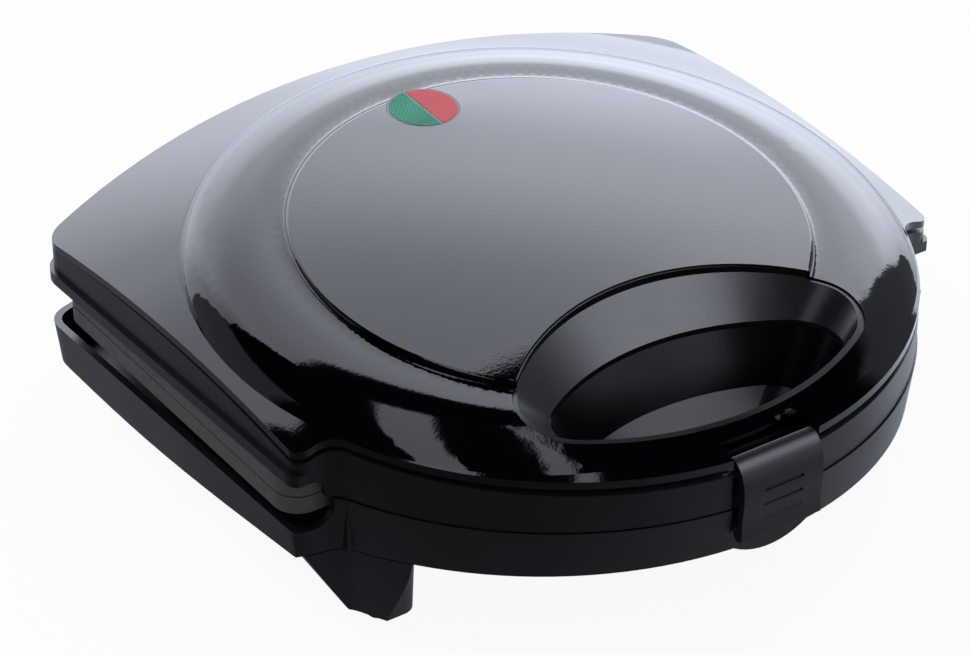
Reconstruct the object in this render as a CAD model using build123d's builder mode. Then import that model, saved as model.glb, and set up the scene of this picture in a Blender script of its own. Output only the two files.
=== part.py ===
"""Clamshell sandwich toaster: domed hinged lid, base on four feet, front latch.

Every sketch is drawn from the dome axis and the parting plane, where the lid
meets the base: level(z), side(x) and front(y) are planes through that point.
"""
from build123d import *
from math import atan, cos, degrees, pi, radians, sin, sqrt
import os

os.makedirs("parts", exist_ok=True)

# Placement: height of the parting plane over the table, dome axis in plan
part_z = 43.8
dome_y = -10.25

# Plan outline of lid and base, measured from the dome axis
half_front = 114.2       # half width at the front corners
half_rear = 117.6        # half width at the rear corners
front_y = -41.0          # straight front edge beside the round handle
rear_corner_y = 99.0
rear_mid_y = 121.5       # rear edge at the middle, bowed outwards
front_r = 110.4          # round front that carries the handle
corner_front_r = 4.0
corner_rear_r = 10.0
neck_r = 8.0
wall = 2.4               # moulded wall

# Lid crown and dome
crown_top = 39.4
crown_y = 40.0
crown_rx = 420.0
crown_ry = 500.0
rim_top = 36.4           # crown of the gloss cover's lower edge
rim_y = 46.0
dome_r = 110.3
dome_base_z = 23.8
dome_base_tilt = 0.088
core_r = 96.0
ring_r = 79.0
ring_z = 32.9
ring_tilt = 0.118
disc_rise = 2.2          # crown of the disc inside the ring
disc_tilt = 0.106        # the disc lies flatter than the ring, so its edge stands out at the front
disc_step = 1.15         # height of that edge, on average
disc_edge_r = 1.0
disc_margin = 0.5        # flat between the ring's edge and the disc

# Handle opening through the lid
open_front_r = 98.6
open_rear_r = 77.5
open_rear_y = -36.7
open_end_r = 17.0
hole_rear_y = -46.8
seam_rear_y = -55.0
hole_top_z = 17.0
pocket_z = -9.0          # floor of the finger pocket in the base

# Lid skirt, plates and the gap between them
flange_low = 6.2
flange_high = 9.8
flange_out = 1.3
plate_gap = 0.4          # between the two closed plates, at the rims
plate_half = 115.4
plate_front = -38.2
plate_rear = 94.0
plate_rim = 5.4          # height of a plate's rim
plate_t = 2.2
plate_corner_r = 8.0
dish_half = 104.0        # both pockets together, from the middle outwards
dish_len = 108.0
dish_mid = 27.9
dish_depth = 8.0
side_wall_top = -9.6     # top of the base's side walls
rear_wall_top = -1.0

# Base
base_front_z = -15.2
base_neck_z = -18.8
base_mid_z = -25.9
base_rear_z = -24.3
base_draft = 6.5         # degrees that the walls lean in
base_flare = 1.4         # the base is this much wider than the lid at the sides
foot_pad = 1.8
foot_low_x = (81.5, 98.5)
foot_low_y = (-52.0, -34.5)
foot_high_x = (87.5, 114.0)
foot_high_y = (-64.0, -25.0)
front_pad = (88.8, -42.2)
rear_foot_y = 84.0
element_r = 2.9
element_z = 13.35        # distance of the element's centre from the parting plane
plate_screw = [(x, y) for x in (-60, 60) for y in (-32.6, 88.3)]
screw_r = 1.5
block_y = 106.0
block_low = -19.6        # underside of the terminal block

# Hinge
hinge_y = 128.5
hinge_z = 0.0
hinge_x = 52.0
pin_r = 2.5
pin_gap = 0.06
knuckle_r = 5.5

leaf_w = 14.0
leaf_t = 2.0
arm_w = 6.0
arm_gap = 0.3
hinge_w = leaf_w + 2 * (arm_w + arm_gap)

# Latch
latch_half = 14.0
latch_gap = 0.9
latch_top_y = -100.8
latch_face_y = -113.4
latch_low_z = -9.6
latch_pin_y = -105.5
latch_pin_z = 9.0
latch_pin_r = 1.5

# Cord gland in the rear wall
gland_x = 84.0
gland_z = -12.5
gland_r = 5.4
gland_bore = 3.4

# Indicator
lamp_y = 68.5
lamp_r = 11.0


def level(z):
    """Horizontal plane z above the parting plane, origin on the dome axis."""
    return Plane(origin=(0, dome_y, part_z + z))


def side(x):
    """Upright plane facing +X: first axis along Y, second axis up."""
    return Plane(origin=(x, dome_y, part_z), x_dir=(0, 1, 0), z_dir=(1, 0, 0))


def front(y):
    """Upright plane facing the front: first axis along X, second axis up."""
    return Plane(origin=(0, dome_y + y, part_z), x_dir=(1, 0, 0), z_dir=(0, -1, 0))


def at(x, y, z):
    """A point measured from the dome axis and the parting plane."""
    return Vector(x, dome_y + y, part_z + z)


def tilted(z, tilt, y=0.0):
    """Plane that rises towards the rear by tilt, crossing the dome axis at z."""
    a = atan(tilt)
    return Plane(origin=at(0, y, z + tilt * y), x_dir=(1, 0, 0),
                 z_dir=(0, -sin(a), cos(a)))


def body_face(inset=0.0, flare=0.0):
    """Plan of lid and base: near-parallel sides, bowed rear, round front."""
    with BuildSketch(Plane.XY, mode=Mode.PRIVATE) as sk:
        with BuildLine():
            a = (half_front + flare, front_y - flare / 2)
            b = (half_rear + flare, rear_corner_y + flare)
            c = (-half_rear - flare, rear_corner_y + flare)
            d = (-half_front - flare, front_y - flare / 2)
            Line(a, b)
            ThreePointArc(b, (0, rear_mid_y + flare), c)
            Line(c, d)
            Line(d, a)
        make_face()
        fillet(sk.vertices().group_by(Axis.Y)[0], corner_front_r)
        fillet(sk.vertices().group_by(Axis.Y)[-1], corner_rear_r)
        Circle(front_r)
        neck_x = sqrt(front_r**2 - (front_y - flare / 2)**2)
        necks = [v for v in sk.vertices()
                 if abs(v.Y - front_y + flare / 2) < 0.1 and abs(abs(v.X) - neck_x) < 0.1]
        fillet(necks, neck_r)
        if inset:
            offset(amount=-inset, kind=Kind.ARC)
    return sk.sketch


def body_prism(low, high, inset=0.0):
    """The plan outline extruded between two heights."""
    with BuildPart(mode=Mode.PRIVATE) as p:
        with BuildSketch(level(low)):
            add(body_face(inset))
        extrude(amount=high - low)
    return p.part


def crown(top, mid_y, drop=0.0):
    """Everything under a crowned surface, with a round core left to the dome."""
    z = top - drop
    with BuildPart(mode=Mode.PRIVATE) as p:
        with BuildSketch(side(0)) as sk:
            with BuildLine():
                rise = crown_ry - sqrt(crown_ry**2 - 180**2)
                ThreePointArc((mid_y - 180, z - rise), (mid_y, z), (mid_y + 180, z - rise))
                Line((mid_y + 180, z - rise), (mid_y + 180, z - 90))
                Line((mid_y + 180, z - 90), (mid_y - 180, z - 90))
                Line((mid_y - 180, z - 90), (mid_y - 180, z - rise))
            make_face()
        spin = Axis(at(0, 0, z - crown_rx), (0, 1, 0))
        revolve(axis=spin, revolution_arc=44)
    with BuildPart(mode=Mode.PRIVATE) as core:
        with BuildSketch(level(-90)):
            Circle(core_r)
        extrude(amount=180)
    return p.part.rotate(spin, -22) - core.part


def dome(inset=0.0):
    """Round dome: steep at its foot, flat towards the ring, tilted to the rear."""
    steps = [(-0.55, 2.6), (0.0, 0.0), (0.28, -1.9), (0.55, -5.2), (0.78, -10.8),
             (0.93, -19.0), (1.0, ring_r - dome_r)]
    with BuildPart(mode=Mode.PRIVATE) as p:
        for share, out in steps:
            z = dome_base_z + (ring_z - dome_base_z) * share - inset
            tilt = dome_base_tilt + (ring_tilt - dome_base_tilt) * share
            with BuildSketch(tilted(z, tilt)):
                Circle(dome_r + out - inset)
        loft()
        low = p.faces().sort_by(Axis.Z)[0]
        extrude(low, amount=60, dir=(0, 0, -1))
    ball_r = (ring_r**2 + disc_rise**2) / (2 * disc_rise)
    plane = tilted(ring_z + disc_step - inset, disc_tilt)
    with BuildPart(plane.offset(-6), mode=Mode.PRIVATE) as cap:
        Cylinder(ring_r - disc_margin - 2 * inset, 16, align=(Align.CENTER, Align.CENTER, Align.MIN))
        with Locations((0, 0, 6 + disc_rise - ball_r)):
            Sphere(ball_r, rotation=(0, 90, 0), mode=Mode.INTERSECT)
        fillet(cap.edges().filter_by(GeomType.CIRCLE).sort_by(Axis.Z)[-1], disc_edge_r)
    return p.part + cap.part


def lens_face(grow=0.0, rear=None):
    """Plan of the handle opening: front arc on the dome axis, flatter rear arc."""
    y = open_rear_y if rear is None else rear
    r1 = open_front_r + grow
    r2 = open_rear_r + grow
    with BuildSketch(Plane.XY, mode=Mode.PRIVATE) as sk:
        Circle(r1)
        with Locations((0, y + grow - r2)):
            Circle(r2, mode=Mode.INTERSECT)
        ends = sk.vertices()
        fillet(ends, open_end_r + grow)
    return sk.sketch


def side_slot(edge_z, up, start_x, corner_r):
    """Open band between the side walls: everything past start_x beyond edge_z."""
    with BuildPart(mode=Mode.PRIVATE) as p:
        with BuildSketch(front(front_y - 3)):
            for s in (-1, 1):
                with BuildLine():
                    a = (s * start_x, edge_z - up * 30)
                    c = (s * start_x, edge_z)
                    FilletPolyline(a, c, (s * 150, edge_z), radius=corner_r)
                    Polyline((s * 150, edge_z), (s * 150, edge_z - up * 30), a)
                make_face()
        extrude(amount=-136)
        with BuildSketch(level(edge_z)):
            for s in (-1, 1):
                with Locations((s * 112, 108)):
                    Rectangle(44, 40)
        extrude(amount=-up * 30)
    return p.part


def underside(lift=0.0):
    """Everything above the base's sloping underside."""
    with BuildPart(mode=Mode.PRIVATE) as p:
        with BuildSketch(side(-140)):
            with BuildLine():
                low = Spline((-135, base_front_z + 1.4 + lift), (-110, base_front_z + lift),
                             (-44, base_neck_z + lift), (0, base_mid_z + 2.8 + lift),
                             (50, base_mid_z + lift), (97, base_rear_z + lift),
                             (145, base_rear_z + 3.4 + lift))
                Line(low @ 1, (145, 80))
                Line((145, 80), (-135, 80))
                Line((-135, 80), low @ 0)
            make_face()
        extrude(amount=280)
    return p.part


def drafted_prism(high, depth, grow):
    """The base's outline extruded downwards with walls that lean in."""
    with BuildPart(mode=Mode.PRIVATE) as p:
        with BuildSketch(level(high)):
            add(body_face(-grow, base_flare))
        extrude(amount=-depth, taper=base_draft)
    return p.part


def tube(points, radii, radius, plane=Plane.XY):
    """A round bar along straight runs joined by tangent arcs."""
    with BuildPart(mode=Mode.PRIVATE) as p:
        with BuildLine():
            path = FilletPolyline(*points, radius=radii)
        with BuildSketch(Plane(origin=path @ 0, z_dir=path % 0)):
            Circle(radius)
        sweep(path=path)
    return p.part


def mirrored_pair(shape):
    """The shape and its mirror image across the middle plane."""
    return [shape, shape.mirror(Plane.YZ)]


def posts(sign, length):
    """Screw posts behind a cooking plate."""
    with BuildPart(mode=Mode.PRIVATE) as p:
        with BuildSketch(level(sign * (plate_gap / 2 + plate_rim + 0.1))):
            with Locations(*plate_screw):
                Circle(screw_r + 1.9)
        extrude(amount=sign * length)
    return p.part


with BuildPart(mode=Mode.PRIVATE) as hinge_seat:
    with BuildSketch(level(-knuckle_r)):
        for s in (-1, 1):
            with Locations((s * hinge_x, 109.5)):
                Rectangle(leaf_w, 13)
    extrude(amount=-40)
hinge_seats = hinge_seat.part
lid_low = 0.15           # the lid's front skirt stops just over the base
base_high = -0.15
lens_cut = extrude(level(-20) * lens_face(), amount=90)
notch_half = latch_half + 1.1
lamp_tilt = disc_tilt - 2 * disc_rise * lamp_y / ring_r**2
lamp_z = ring_z + disc_step + disc_tilt * lamp_y + disc_rise * (1 - (lamp_y / ring_r)**2)
lamp_plane = tilted(lamp_z - lamp_tilt * lamp_y, lamp_tilt, lamp_y)
lamp_seat = extrude(lamp_plane.offset(-9) * Circle(lamp_r + 0.5), amount=18)
outer_shape = crown(crown_top, crown_y) + dome()
inner_shape = crown(crown_top, crown_y, wall) + dome(wall)

# ---------------------------------------------------------------- lid: cover
with BuildPart() as lid_cover:
    add(body_prism(-2, 70) & outer_shape)
    add(lens_cut, mode=Mode.SUBTRACT)
    add(lamp_seat, mode=Mode.SUBTRACT)
    # hollow under the moulded wall, and the wavy lower edge
    add(inner_shape, mode=Mode.SUBTRACT)
    add(crown(rim_top, rim_y), mode=Mode.SUBTRACT)
    # notch for the latch
    with BuildSketch(level(-5)):
        with Locations((0, latch_top_y - 20)):
            Rectangle(2 * notch_half, 40)
    extrude(amount=40, mode=Mode.SUBTRACT)
    # bosses for the upper plate's screws and the lamp holder
    add(posts(1, 60) & (crown(crown_top, crown_y, 1.0) + dome(1.0)))
    with BuildSketch(level(0)):
        with Locations(*plate_screw):
            Circle(screw_r)
    extrude(amount=13, mode=Mode.SUBTRACT)
lid_cover.part.label = "lid_cover"
export_step(lid_cover.part, "parts/lid_cover.step")

# ---------------------------------------------------------------- lid: skirt
cheek = 2.6
with BuildPart() as lid_skirt:
    add(body_prism(lid_low, 60))
    add(crown(rim_top, rim_y), mode=Mode.INTERSECT)
    # proud band along the sides
    with BuildSketch(level(flange_low)):
        add(body_face(-flange_out))
        with Locations((0, front_y - 50)):
            Rectangle(300, 100, mode=Mode.SUBTRACT)
    extrude(amount=flange_high - flange_low)
    with BuildSketch(level(-5)):
        add(body_face(wall))
    extrude(amount=70, mode=Mode.SUBTRACT)
    add(side_slot(flange_low, 1, 105, 5), mode=Mode.SUBTRACT)
    # pocket for the latch: back wall and cheeks that carry its pin
    with BuildSketch(level(lid_low)):
        with Locations((0, -104)):
            Rectangle(2 * (notch_half + cheek), 8.8)
    extrude(amount=11.6)
    with BuildSketch(side(-notch_half - cheek)):
        with Locations((latch_pin_y, latch_pin_z - 1)):
            Rectangle(6.6, 7)
        with Locations((latch_pin_y, latch_pin_z)):
            Circle(3.3)
    extrude(amount=2 * (notch_half + cheek))
    with BuildSketch(level(-5)):
        with Locations((0, latch_top_y - 20.2)):
            Rectangle(2 * notch_half, 40)
    extrude(amount=40, mode=Mode.SUBTRACT)
    with BuildSketch(side(-notch_half - cheek)):
        with Locations((latch_pin_y, latch_pin_z)):
            Circle(latch_pin_r)
    extrude(amount=2 * (notch_half + cheek), mode=Mode.SUBTRACT)
    # slots for the hinge leaves in the rear wall, and their seats
    with BuildSketch(level(-5)):
        for s in (-1, 1):
            with Locations((s * hinge_x, 120)):
                Rectangle(hinge_w + 0.8, 30)
    extrude(amount=5 + knuckle_r + 0.4, mode=Mode.SUBTRACT)
    with BuildSketch(level(knuckle_r)):
        for s in (-1, 1):
            with Locations((s * hinge_x, 110.5)):
                Rectangle(hinge_w - 4, 14)
    extrude(amount=9)
    with BuildSketch(level(knuckle_r - 1)):
        for s in (-1, 1):
            with Locations((s * hinge_x - 6, 109), (s * hinge_x + 6, 109)):
                Circle(screw_r)
    extrude(amount=8, mode=Mode.SUBTRACT)
lid_skirt.part.label = "lid_skirt"
export_step(lid_skirt.part, "parts/lid_skirt.step")

# ------------------------------------------------- lid: lining of the handle
bezel_plane = tilted(29.2 - 0.155 * open_rear_y, 0.155)


def scoop():
    """Hollow of the bezel: upright at the front, a long slope at the rear."""
    with BuildPart(mode=Mode.PRIVATE) as p:
        with BuildSketch(level(hole_top_z - 2)):
            add(lens_face(-2.2, hole_rear_y))
        with BuildSketch(level(hole_top_z)):
            add(lens_face(-2.0, hole_rear_y))
        loft()
        with BuildSketch(level(hole_top_z)):
            add(lens_face(-2.0, hole_rear_y))
        with BuildSketch(bezel_plane):
            add(lens_face(-1.1))
        loft()
        top = p.faces().sort_by(Axis.Z)[-1]
        extrude(top, amount=30, dir=(0, 0, 1))
    return p.part


def lens_loft(low, low_grow, low_rear, high, high_grow, high_rear):
    """Solid between two outlines of the handle opening."""
    with BuildPart(mode=Mode.PRIVATE) as p:
        with BuildSketch(level(low)):
            add(lens_face(low_grow, low_rear))
        with BuildSketch(level(high)):
            add(lens_face(high_grow, high_rear))
        loft()
    return p.part


with BuildPart() as handle_bezel:
    with BuildSketch(level(hole_top_z - 1.5)):
        add(lens_face(-0.15))
    extrude(amount=60)
    add(crown(crown_top, crown_y, 0.5) + dome(0.5), mode=Mode.INTERSECT)
    add(scoop(), mode=Mode.SUBTRACT)
handle_bezel.part.label = "handle_bezel"
export_step(handle_bezel.part, "parts/handle_bezel.step")

with BuildPart() as handle_cup:
    high = hole_top_z - 1.6
    add(lens_loft(lid_low + 0.25, -0.6, seam_rear_y + 2.4, high, -0.2, hole_rear_y + 2.2))
    add(lens_loft(lid_low, -3.0, seam_rear_y, high + 0.1, -2.2, hole_rear_y), mode=Mode.SUBTRACT)
handle_cup.part.label = "handle_cup"
export_step(handle_cup.part, "parts/handle_cup.step")

# ------------------------------------------------------------ base: housing
with BuildPart() as base_housing:
    add(drafted_prism(base_high, 40, 0.5) & underside())
    add(drafted_prism(base_high, 40, 0.5 - wall) & underside(wall), mode=Mode.SUBTRACT)
    # wall between the heated part and the handle
    with BuildSketch(level(-30)):
        with Locations((0, front_y - 3.2)):
            Rectangle(2 * 101, 2.4)
    extrude(amount=30 + base_high)
    add(underside(0.4), mode=Mode.INTERSECT)
    add(side_slot(side_wall_top, -1, 103.5, 6), mode=Mode.SUBTRACT)
    with BuildSketch(level(rear_wall_top)):
        with Locations((0, 110)):
            Rectangle(300, 60)
    extrude(amount=10, mode=Mode.SUBTRACT)
    # bosses for the lower plate, seats and slots for the hinge leaves
    add(posts(-1, 40) & underside(1.0))
    add(hinge_seats & underside(1.0))
    with BuildSketch(level(-knuckle_r)):
        for s in (-1, 1):
            with Locations((s * hinge_x, 123)):
                Rectangle(leaf_w + 0.8, 24)
    extrude(amount=30, mode=Mode.SUBTRACT)
    # pad under the terminal block
    with BuildSketch(level(block_low)):
        with Locations((0, block_y)):
            Rectangle(30, 8)
    extrude(amount=-2.6)
    with BuildSketch(level(0)):
        with Locations(*plate_screw):
            Circle(screw_r)
    extrude(amount=-13, mode=Mode.SUBTRACT)
    with BuildSketch(level(-knuckle_r + 1)):
        for s in (-1, 1):
            with Locations((s * hinge_x - 4, 107.5), (s * hinge_x + 4, 107.5)):
                Circle(screw_r)
    extrude(amount=-8, mode=Mode.SUBTRACT)
    with BuildSketch(front(90)):
        with Locations((gland_x, gland_z)):
            Circle(gland_r + 0.1)
    extrude(amount=-60, mode=Mode.SUBTRACT)
    # catch at the front: recess for the latch and a rounded sill under it
    with BuildSketch(front(-102)):
        with BuildLine():
            Line((-notch_half, base_high), (notch_half, base_high))
            Line((notch_half, base_high), (notch_half, base_front_z + 2))
            ThreePointArc((notch_half, base_front_z + 2), (0, base_front_z - 3.4),
                          (-notch_half, base_front_z + 2))
            Line((-notch_half, base_front_z + 2), (-notch_half, base_high))
        make_face()
    extrude(amount=6.8)
    with BuildSketch(level(-40)):
        with Locations((0, -108.6 - 10)):
            Rectangle(2 * notch_half, 20)
    extrude(amount=50, mode=Mode.SUBTRACT)
base_housing.part.label = "base_housing"
export_step(base_housing.part, "parts/base_housing.step")

# ------------------------------------ base: glossy deck with a finger pocket
with BuildPart() as handle_deck:
    with BuildSketch(level(-2.4)):
        Circle(front_r - wall - 0.6)
        with Locations((0, front_y - 5.2 + 100)):
            Rectangle(300, 200, mode=Mode.SUBTRACT)
        with Locations((0, -118)):
            Rectangle(2 * notch_half + 1, 2 * (118 - 101.4), mode=Mode.SUBTRACT)
    extrude(amount=2.4 + base_high - 0.4)
    with BuildSketch(level(pocket_z - 1.8)):
        add(lens_face(-0.8, seam_rear_y + 3.4))
    extrude(amount=-pocket_z + 1.8 + base_high - 0.4)
    add(lens_loft(pocket_z, -7.0, seam_rear_y - 4, base_high, -2.8, seam_rear_y + 1.2),
        mode=Mode.SUBTRACT)
handle_deck.part.label = "handle_deck"
export_step(handle_deck.part, "parts/handle_deck.step")

# post in the pocket that braces the catch
with BuildPart() as catch_post:
    with BuildSketch(level(pocket_z + 0.05)):
        with Locations((0, -87.5)):
            RectangleRounded(31, 7, 1.5)
    extrude(amount=-pocket_z + 4.5)
    with BuildSketch(level(1.5)):
        with Locations((-8, -87.5), (8, -87.5)):
            Rectangle(8, 4)
    extrude(amount=4, mode=Mode.SUBTRACT)
catch_post.part.label = "catch_post"
export_step(catch_post.part, "parts/catch_post.step")


def plate(sign):
    """Cast cooking plate: rim, two dished pockets and a raised diagonal in each."""
    face = sign * plate_gap / 2
    with BuildPart(mode=Mode.PRIVATE) as p:
        with BuildSketch(level(face)):
            with Locations((0, (plate_front + plate_rear) / 2)):
                RectangleRounded(2 * plate_half, plate_rear - plate_front, plate_corner_r)
        extrude(amount=sign * plate_rim)
        with BuildSketch(level(face + sign * 0.01)):
            with Locations((0, dish_mid)):
                RectangleRounded(2 * dish_half + 5, dish_len + 5, 12)
        extrude(amount=sign * (dish_depth + plate_t), taper=8)
        with BuildSketch(level(face)):
            for s in (-1, 1):
                with Locations((s * (dish_half / 2 + 0.75), dish_mid)):
                    RectangleRounded(dish_half - 3.5, dish_len, 9)
        extrude(amount=sign * dish_depth, taper=14, mode=Mode.SUBTRACT)
        with BuildSketch(level(face)):
            with Locations(*plate_screw):
                Circle(3.2)
        extrude(amount=sign * 1.5, mode=Mode.SUBTRACT)
        with BuildSketch(level(face)):
            with Locations(*plate_screw):
                Circle(screw_r + 0.2)
        extrude(amount=sign * 9, mode=Mode.SUBTRACT)
        # diagonal ridge that cuts and seals the sandwich
        for s in (-1, 1):
            mid = at(s * (dish_half / 2 + 0.75), dish_mid, face + sign * (dish_depth + 0.3))
            turn = s * degrees(atan((dish_len - 12) / (dish_half - 12)))
            length = sqrt((dish_len - 12)**2 + (dish_half - 12)**2)
            with BuildSketch(Plane(origin=mid, x_dir=(1, 0, 0)).rotated((0, 0, turn))):
                Rectangle(length, 9)
            extrude(amount=-sign * (dish_depth - 1.2), taper=24)
    return p.part


def screw(plane, spots, shank_r, shank, head_r, head):
    """Pan-head screws with a cross recess: shank below the plane, head above."""
    with BuildPart(mode=Mode.PRIVATE) as p:
        with BuildSketch(plane):
            with Locations(*spots):
                Circle(shank_r)
        extrude(amount=-shank)
        with BuildSketch(plane):
            with Locations(*spots):
                Circle(head_r)
        extrude(amount=head)
        with BuildSketch(plane.offset(head)):
            with Locations(*spots):
                Rectangle(head_r * 1.2, 0.7)
                Rectangle(0.7, head_r * 1.2)
        extrude(amount=-head * 0.5, mode=Mode.SUBTRACT)
    return p.part


# ------------------------------------------------------------ cooking plates
with BuildPart() as lower_plate:
    add(plate(-1))
lower_plate.part.label = "lower_plate"
export_step(lower_plate.part, "parts/lower_plate.step")

with BuildPart() as upper_plate:
    add(plate(1))
upper_plate.part.label = "upper_plate"
export_step(upper_plate.part, "parts/upper_plate.step")

with BuildPart() as plate_screws_lower:
    add(screw(level(-plate_gap / 2 - 1.5), plate_screw, screw_r, 11, 2.8, 1.2))
plate_screws_lower.part.label = "plate_screws_lower"
export_step(plate_screws_lower.part, "parts/plate_screws_lower.step")

with BuildPart() as plate_screws_upper:
    add(plate_screws_lower.part.mirror(level(0)))
plate_screws_upper.part.label = "plate_screws_upper"
export_step(plate_screws_upper.part, "parts/plate_screws_upper.step")

# ------------------------------------------------- heating elements and shields
loop = [(-14, 98), (-14, 78), (-80, 78), (-80, -16), (80, -16), (80, 78), (14, 78), (14, 98)]
loop_radii = [9, 14, 14, 14, 14, 9]


def heating_loop(sign):
    """Tubular element pressed against the back of a plate, with its cold pins."""
    z = sign * element_z
    pts = [at(x, y, z) for x, y in loop]
    with BuildPart(mode=Mode.PRIVATE) as p:
        add(tube(pts, loop_radii, element_r))
        with BuildSketch(front(98)):
            with Locations((-14, z), (14, z)):
                Circle(1.2)
        extrude(amount=-7)
    return p.part


def shield(sign):
    """Folded sheet behind the element: floor, turned-up rim and four stand-offs."""
    z = sign * (element_z + element_r + 0.9)
    back = sign * (dish_back + 0.02)
    mid = (0, 29)
    with BuildPart(mode=Mode.PRIVATE) as p:
        with BuildSketch(level(z)):
            with Locations(mid):
                RectangleRounded(190, 108, 8)
        extrude(amount=-sign * 5.6)
        with BuildSketch(level(z - sign * 0.6)):
            with Locations(mid):
                RectangleRounded(188.8, 106.8, 7.4)
        extrude(amount=-sign * 6, mode=Mode.SUBTRACT)
        with BuildSketch(level(z)):
            with Locations((-50, 5), (50, 5), (-50, 56), (50, 56)):
                Circle(3)
        extrude(amount=back - z)
        with BuildSketch(level(z + sign)):
            with Locations((0, 50)):
                Circle(13)
            with Locations((-14, 82), (14, 82)):
                Rectangle(9, 20)
        extrude(amount=-sign * 9, mode=Mode.SUBTRACT)
    return p.part


dish_back = plate_gap / 2 + 0.01 + dish_depth + plate_t
with BuildPart() as lower_element:
    add(heating_loop(-1))
lower_element.part.label = "lower_element"
export_step(lower_element.part, "parts/lower_element.step")

with BuildPart() as upper_element:
    add(heating_loop(1))
upper_element.part.label = "upper_element"
export_step(upper_element.part, "parts/upper_element.step")

with BuildPart() as lower_shield:
    add(shield(-1))
lower_shield.part.label = "lower_shield"
export_step(lower_shield.part, "parts/lower_shield.step")

with BuildPart() as upper_shield:
    add(shield(1))
upper_shield.part.label = "upper_shield"
export_step(upper_shield.part, "parts/upper_shield.step")

# --------------------------------------------------- thermostat and thermal fuse
with BuildPart() as thermostat:
    with BuildSketch(level(-dish_back - 0.02)):
        with Locations((0, 50)):
            Circle(8.2)
    extrude(amount=-3.2)
    with BuildSketch(level(-dish_back - 3.22)):
        with Locations((0, 50)):
            Circle(7.0)
    extrude(amount=-5.0)
    with BuildSketch(level(-dish_back - 5.2)):
        with Locations((0, 50)):
            Rectangle(24, 4)
    extrude(amount=-0.8)
thermostat.part.label = "thermostat"
export_step(thermostat.part, "parts/thermostat.step")

with BuildPart() as thermal_fuse:
    with BuildSketch(side(-9)):
        with Locations((30, -dish_back - 2.03)):
            Circle(2.0)
    extrude(amount=18)
    with BuildSketch(side(-16)):
        with Locations((30, -dish_back - 2.03)):
            Circle(0.6)
    extrude(amount=32)
thermal_fuse.part.label = "thermal_fuse"
export_step(thermal_fuse.part, "parts/thermal_fuse.step")

with BuildPart() as terminal_block:
    with BuildSketch(level(block_low)):
        with Locations((0, block_y)):
            RectangleRounded(38, 11, 1.5)
    extrude(amount=10.5)
    with BuildSketch(level(block_low + 10.5)):
        with Locations(*[(x, block_y) for x in (-12, 0, 12)]):
            Circle(2.6)
    extrude(amount=-3, mode=Mode.SUBTRACT)
    with BuildSketch(front(block_y - 6)):
        with Locations((-14, -element_z), (14, -element_z)):
            Circle(1.4)
    extrude(amount=-6, mode=Mode.SUBTRACT)
terminal_block.part.label = "terminal_block"
export_step(terminal_block.part, "parts/terminal_block.step")

# ---------------------------------------------------------------- cord gland
with BuildPart() as cord_gland:
    with BuildSketch(front(108)):
        with Locations((gland_x, gland_z)):
            Circle(gland_r)
    extrude(amount=-7.5)
    with BuildSketch(front(115.5)):
        with Locations((gland_x, gland_z)):
            Circle(gland_r + 1.8)
    extrude(amount=-2.2)
    with BuildSketch(front(117.7)):
        with Locations((gland_x, gland_z)):
            Circle(gland_r)
    extrude(amount=-5, taper=8)
    with BuildSketch(front(100)):
        with Locations((gland_x, gland_z)):
            Circle(gland_bore)
    extrude(amount=-30, mode=Mode.SUBTRACT)
cord_gland.part.label = "cord_gland"
export_step(cord_gland.part, "parts/cord_gland.step")

# ---------------------------------------------------------------------- feet
with BuildPart() as front_feet:
    for s in (-1, 1):
        for z, xs, ys, r in ((-part_z + foot_pad, foot_low_x, foot_low_y, 5),
                             (-15, foot_high_x, foot_high_y, 7)):
            with BuildSketch(level(z)):
                with Locations((s * sum(xs) / 2, sum(ys) / 2)):
                    RectangleRounded(xs[1] - xs[0], ys[1] - ys[0], r)
        loft()
    # the outer sides run on from the base's walls
    add(drafted_prism(base_high, part_z, 0.4), mode=Mode.INTERSECT)
    add(underside(-0.02), mode=Mode.SUBTRACT)
front_feet.part.label = "front_feet"
export_step(front_feet.part, "parts/front_feet.step")

with BuildPart() as rear_feet:
    for s in (-1, 1):
        with BuildSketch(level(-part_z + foot_pad)):
            with Locations((s * 88, rear_foot_y)):
                RectangleRounded(12, 13.5, 4)
        with BuildSketch(level(-18)):
            with Locations((s * 88, rear_foot_y - 4)):
                RectangleRounded(15, 30, 5)
        loft()
    add(underside(-0.02), mode=Mode.SUBTRACT)
rear_feet.part.label = "rear_feet"
export_step(rear_feet.part, "parts/rear_feet.step")

with BuildPart() as foot_pads:
    with BuildSketch(level(-part_z)):
        for s in (-1, 1):
            with Locations((s * front_pad[0], front_pad[1]), (s * 88, rear_foot_y)):
                RectangleRounded(10.4, 11.8, 3.4)
    extrude(amount=foot_pad)
foot_pads.part.label = "foot_pads"
export_step(foot_pads.part, "parts/foot_pads.step")

# --------------------------------------------------------------------- hinge
with BuildPart() as base_hinges:
    for s in (-1, 1):
        with BuildSketch(side(s * hinge_x - leaf_w / 2)):
            with Locations((hinge_y, hinge_z)):
                Circle(knuckle_r)
            with Locations(((103.5 + hinge_y) / 2, -knuckle_r + leaf_t / 2)):
                Rectangle(hinge_y - 103.5, leaf_t)
            with Locations((hinge_y, hinge_z)):
                Circle(pin_r + pin_gap, mode=Mode.SUBTRACT)
        extrude(amount=leaf_w)
    with BuildSketch(level(-knuckle_r - 1)):
        for s in (-1, 1):
            with Locations((s * hinge_x - 4, 107.5), (s * hinge_x + 4, 107.5)):
                Circle(screw_r + 0.1)
    extrude(amount=4, mode=Mode.SUBTRACT)
base_hinges.part.label = "base_hinges"
export_step(base_hinges.part, "parts/base_hinges.step")

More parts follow.
